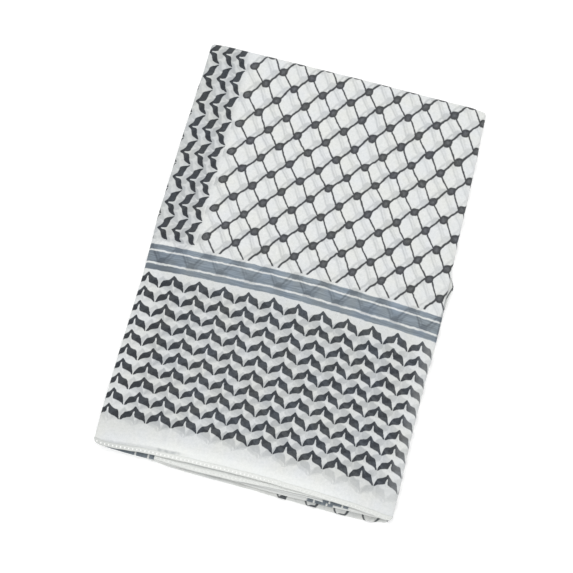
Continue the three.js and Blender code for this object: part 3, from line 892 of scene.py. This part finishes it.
topHem = makeHem("topHem", top, topHemShape, columns)
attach(topHem, "root")
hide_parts("top_hem")

stitches = {
    "pitch": 3.3,
    "uneven": 0.12,
    "long": 1.2,
    "wide": 0.75,
    "high": 0.32,
    "swing": 0.2,
    "across": 0.38,
    "sunk": 0.17,  # they sink into the cloth from the middle to the right
    "sunkBy": 40,
}


def makeStitches(name, panel, shape):
    bpy.ops.object.select_all(action="DESELECT")
    bpy.ops.mesh.primitive_uv_sphere_add(segments=8, ring_count=6, radius=1)
    one = bpy.context.object
    ball = [tuple(vertex.co) for vertex in one.data.vertices]
    ballFaces = [tuple(polygon.vertices) for polygon in one.data.polygons]
    bpy.data.objects.remove(one)
    points, faces = [], []
    x = shape["start"]
    while x < shape["end"]:
        swing = stitches["swing"] * noise.noise(Vector((x, 1.7, 5.0)))
        sunk = stitches["sunk"] * smooth(0, stitches["sunkBy"], x)
        depth = shape["stitchDepth"] + sunk - shape["lift"]
        cx, cy, cz = hemPoint(panel, x, stitches["across"], depth)
        base = len(points)
        for bx, by, bz in ball:
            points.append((
                cx + bx * stitches["wide"] + by * swing,
                cy + by * stitches["long"],
                cz + bz * stitches["high"],
            ))
        faces += [tuple(base + i for i in face) for face in ballFaces]
        uneven = stitches["uneven"] * noise.noise(Vector((x / 3, 8.1, 2.0)))
        x += stitches["pitch"] * (1 + uneven)
    return makeMesh(name, points, faces, [(p[0], p[1]) for p in points], sewingThread)


topStitches = makeStitches("topStitches", top, topHemShape)
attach(topStitches, "root")
print("top hem made")

under = {
    "layer": "under",
    "height": 8.8,
    "thick": 0.45,
    "inset": 2.9,
    "insetFar": 5.6,
    "rollSide": 0.6,
    "rollFar": 0.8,
    "dropFar": 0.8,
    "turnSide": 1.2,
    "turnFar": 1.2,
    "ridges": 0.0,
    "seed": 21.0,
    "step": 4.0,
    "rollSteps": 3,
    "drop": 0.2,
}

# the scarf's end shows on the layers below, so its stripes run lengthwise
endPrint = {
    "x": -18,
    "blank": -2.6,  # a white line of the print, between the net and the stripes
    "left": (-69.2, -22.6),  # where they start across the pack, and their last line
    "lower": (79.7, -25.6),
    "upper": (92.2, -25.6),
}


def stripesAt(x, part):
    start, last = endPrint[part]
    return min(max(x - start, last), endPrint["blank"])


def underSpot(x, y, point):
    return endPrint["x"] + y, stripesAt(point[0], "left")


underColumns, underRows = panelGrid(under)
underCloth = wall(
    "underCloth", underColumns, underRows,
    lambda x, y: panelPoint(under, x, y, under["drop"]),
    lambda x, y: panelPoint(under, x, y, under["thick"] + under["drop"]),
    underSpot, innerChiffon,
)
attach(underCloth, "root")
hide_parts("under_panel")

underHemShape = {"lift": 0.0, "thick": 0.9, "stitchDepth": 0.36, "start": -71.0, "end": 118}
underHemEnd = {"left": -73.0, "step": 2.0}
underHem = makeHem("underHem", under, underHemShape,
                   spacing(underHemEnd["left"], underColumns[-1], underHemEnd["step"], 0, 0, 1))
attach(underHem, "root")
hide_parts("under_hem")
underStitches = makeStitches("underStitches", under, underHemShape)
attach(underStitches, "root")
print("under layer made")

folds = {
    "corner": 6.0,
    "cornerSteps": 6,
    "step": 3.0,
    "wander": 0.35,  # how far the edges wander
    "wanderOver": (23, 27),
    "sidePower": 6,  # the higher, the closer the side wander keeps to the sides
    "taper": 1.15,
    "hub": (12, 17),  # where the faces of the flat ends meet
}


def planLoop(halfX, nearY, farY):
    points = []
    radius = folds["corner"]
    sides = [
        (halfX - radius, nearY + radius, -90, 0, 1, farY - nearY - 2 * radius),
        (halfX - radius, farY - radius, 0, -1, 0, 2 * (halfX - radius)),
        (-halfX + radius, farY - radius, 90, 0, -1, farY - nearY - 2 * radius),
        (-halfX + radius, nearY + radius, 180, 1, 0, 2 * (halfX - radius)),
    ]
    for cx, cy, turn, dx, dy, length in sides:
        for i in range(folds["cornerSteps"] + 1):
            angle = math.radians(turn + 90 * i / folds["cornerSteps"])
            points.append((cx + radius * math.cos(angle), cy + radius * math.sin(angle)))
        x, y = points[-1]
        count = round(2 * pack["halfLength" if dx == 0 else "halfWidth"] / folds["step"])
        for i in range(1, count):
            points.append((x + dx * length * i / count, y + dy * length * i / count))
    return points


# how each fold rounds off: share of its height, set-in
noseProfile = [(0.0, 1.5), (0.1, 0.7), (0.28, 0.16), (0.5, 0.0), (0.72, 0.16), (0.9, 0.7)]


def foldLoop(fold, layer, z, inset, slip):
    halfX = pack["halfWidth"] - fold["side"] - inset
    nearY = -pack["halfLength"] + inset
    farY = pack["halfLength"] - fold["far"] - inset
    loop = []
    wide, long = folds["wanderOver"]
    for x, y in planLoop(halfX, nearY, farY):
        planX, planY = toOutline(x, y, layer)
        wander = folds["wander"] * noise.noise(Vector((planX / wide, planY / long, z * 1.7)))
        away = (abs(x) / halfX) ** folds["sidePower"]
        planX += wander * math.copysign(away, x)
        planY += wander * (1 - away) * (1 if y < 0 else -1)
        if x > 0 and slip:
            past = planY - slip["along"]
            point = max(1 - abs(past) / slip["above" if past > 0 else "below"], 0)
            planX += slip["reach"] * point ** folds["taper"] * away
        loop.append((planX, planY, z))
    return loop


def makeStack(name, loops, spotAt, material):
    count = len(loops[0])
    points = [point for loop in loops for point in loop]
    faces = []
    for level in range(len(loops) - 1):
        for i in range(count):
            a, b = level * count + i, level * count + (i + 1) % count
            faces.append((a, b, b + count, a + count))
    last = (len(loops) - 1) * count
    hub = len(points)
    points += [(*folds["hub"], loops[0][0][2]), (*folds["hub"], loops[-1][0][2])]
    for i in range(count):
        following = (i + 1) % count
        faces.append((hub, following, i))
        faces.append((hub + 1, last + i, last + following))
    return makeMesh(name, points, faces, spotAt, material)


# the folds inside, from the lower up: their height, outline and set-in at the sides and far end
innerNoses = [
    {"layer": "lower", "high": 1.45, "side": 0.5, "far": 2.2},
    {"layer": "upper", "high": 1.45, "side": 1.0, "far": 3.0},
]
innerFold = {"base": 4.5, "topInsets": (1.3, 9.0), "printX": -20, "printY": 95}
# one fold has slipped out at the right; the print on it is drawn out sideways
slip = {
    "along": 23.5,
    "above": 12,
    "below": 26,
    "reach": 5.2,
    "printX": 22.25,
    "printY": 78.66,
    "printWithin": 40,
    "stretch": 2.2,
}
roundStretch = 1.3  # the cloth that rounds a fold is longer than the fold is high
nearSide = {"y": -165, "halfWidth": 121}


def onNearSide(centre):
    return centre[1] < nearSide["y"] and abs(centre[0]) < nearSide["halfWidth"]


def sideSpot(fold, x, y, z):
    # the net runs round the sides
    out = abs(x) - pack["halfWidth"]
    return y + fold["printX"], fold["printY"] + z * roundStretch + out


def innerSpot(point, centre):
    x, y, z = point
    upper = centre[2] > innerFold["base"] + innerNoses[0]["high"]
    if onNearSide(centre):
        part = "lower" if not upper else "left" if centre[0] < 0 else "upper"
        return endPrint["x"] + z * roundStretch, stripesAt(x, part)
    if upper and x > 0 and abs(y - slip["along"]) < slip["printWithin"]:
        return slip["printX"] + slip["stretch"] * (x - pack["halfWidth"]), slip["printY"] + y
    return sideSpot(innerFold, x, y, z)


loops = []
z = innerFold["base"]
for nose in innerNoses:
    for rise, inset in noseProfile:
        slipped = slip if nose["layer"] == "upper" and inset < 1 else None
        loops.append(foldLoop(nose, nose["layer"], z + rise * nose["high"], inset, slipped))
    z += nose["high"]
for inset in innerFold["topInsets"]:
    loops.append(foldLoop(innerNoses[-1], "upper", z, inset, None))
innerFolds = makeStack("innerFolds", loops, innerSpot, innerChiffon)
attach(innerFolds, "root")
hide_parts("inner_folds")
print("inner folds made")

bottom = {"side": 0.4, "far": 0.4, "high": 4.2, "topInset": 9.0, "printX": 10, "printY": 60}
# the net on its near edge: from where across, its place, and how it is drawn out and leans
bottomNet = {"from": 24, "x": -90.3, "stretch": 1.016, "y": 192.7, "lean": (0.045, 0.6, 1.05)}
bottomProfile = [
    (0.0, 1.5), (0.06, 0.9), (0.15, 0.45), (0.28, 0.12), (0.43, 0.0), (0.58, 0.12), (0.72, 0.42),
    (0.84, 0.85), (0.93, 1.35), (1.0, 2.1),
]


def bottomSpot(point, centre):
    # the lowest fold is plain on the left and shows the net on the right
    x, y, z = point
    if centre[2] < 0.01:  # the flat underside
        return x, y
    if not onNearSide(centre):
        return sideSpot(bottom, x, y, z)
    if centre[0] < bottomNet["from"]:
        return x, endPrint["blank"]
    lean = sum(part * share for part, share in zip(point, bottomNet["lean"]))
    return x * bottomNet["stretch"] + bottomNet["x"], bottomNet["y"] + lean


loops = [foldLoop(bottom, "bottom", share * bottom["high"], inset, None)
         for share, inset in bottomProfile]
loops.append(foldLoop(bottom, "bottom", bottom["high"], bottom["topInset"], None))
bottomFold = makeStack("bottomFold", loops, bottomSpot, innerChiffon)
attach(bottomFold, "root")
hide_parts("bottom_fold")
print("lowest fold made")

studio = {
    "floorSize": 6,
    "floorDrop": 0.0002,
    "floorColour": "#fcfcfc",
    "floorRoughness": 0.9,
    "floorGlow": 0.14,  # lit from below, as a white sweep often is
    "skyStrength": 0.86,
}
white = (1.0, 1.0, 1.0, 1.0)

bpy.ops.object.select_all(action="DESELECT")
bpy.ops.mesh.primitive_plane_add(size=studio["floorSize"], location=(0, 0, -studio["floorDrop"]))
floor = bpy.context.object
floor.name = "floor"
floorPaint = bpy.data.materials.new("studioFloor")
floorPaint.use_nodes = True
paper = floorPaint.node_tree.nodes["Principled BSDF"]
paper.inputs["Base Color"].default_value = linear(studio["floorColour"])
paper.inputs["Roughness"].default_value = studio["floorRoughness"]
paper.inputs["Emission Color"].default_value = white
paper.inputs["Emission Strength"].default_value = studio["floorGlow"]
floor.data.materials.append(floorPaint)

world = bpy.data.worlds.new("softWhite")
bpy.context.scene.world = world
world.use_nodes = True
sky = world.node_tree.nodes["Background"]
sky.inputs["Color"].default_value = white
sky.inputs["Strength"].default_value = studio["skyStrength"]

# name, place in metres, size, power in watts
lights = [
    ("keyLight", (-0.5, 0.7, 2.0), 1.8, 15.0),
    ("fillLight", (0.9, -0.9, 1.9), 1.8, 8.0),
]
for name, place, size, power in lights:
    lamp = bpy.data.lights.new(name, "AREA")
    lamp.size = size
    lamp.energy = power
    holder = bpy.data.objects.new(name, lamp)
    holder.location = place
    holder.rotation_euler = (-Vector(place)).to_track_quat("-Z", "Y").to_euler()
    bpy.context.collection.objects.link(holder)

shot = {
    "azimuth": 14.7248,
    "elevation": 77.0,
    "distance": 1.43393,
    "lens": 108.59,
    "aim": (-0.00642, -0.00885, 0.0),
}
camera = bpy.data.objects.new("camera", bpy.data.cameras.new("camera"))
bpy.context.collection.objects.link(camera)
azimuth, elevation = math.radians(shot["azimuth"]), math.radians(shot["elevation"])
away = Vector((
    math.cos(elevation) * math.sin(azimuth),
    -math.cos(elevation) * math.cos(azimuth),
    math.sin(elevation),
))
camera.location = Vector(shot["aim"]) + away * shot["distance"]
camera.rotation_euler = (-away).to_track_quat("-Z", "Y").to_euler()
camera.data.lens = shot["lens"]
camera.data.sensor_width = 36
camera.data.clip_start = 0.01
bpy.context.scene.camera = camera
bpy.context.scene.view_settings.view_transform = "Standard"
print("floor, light and camera made")
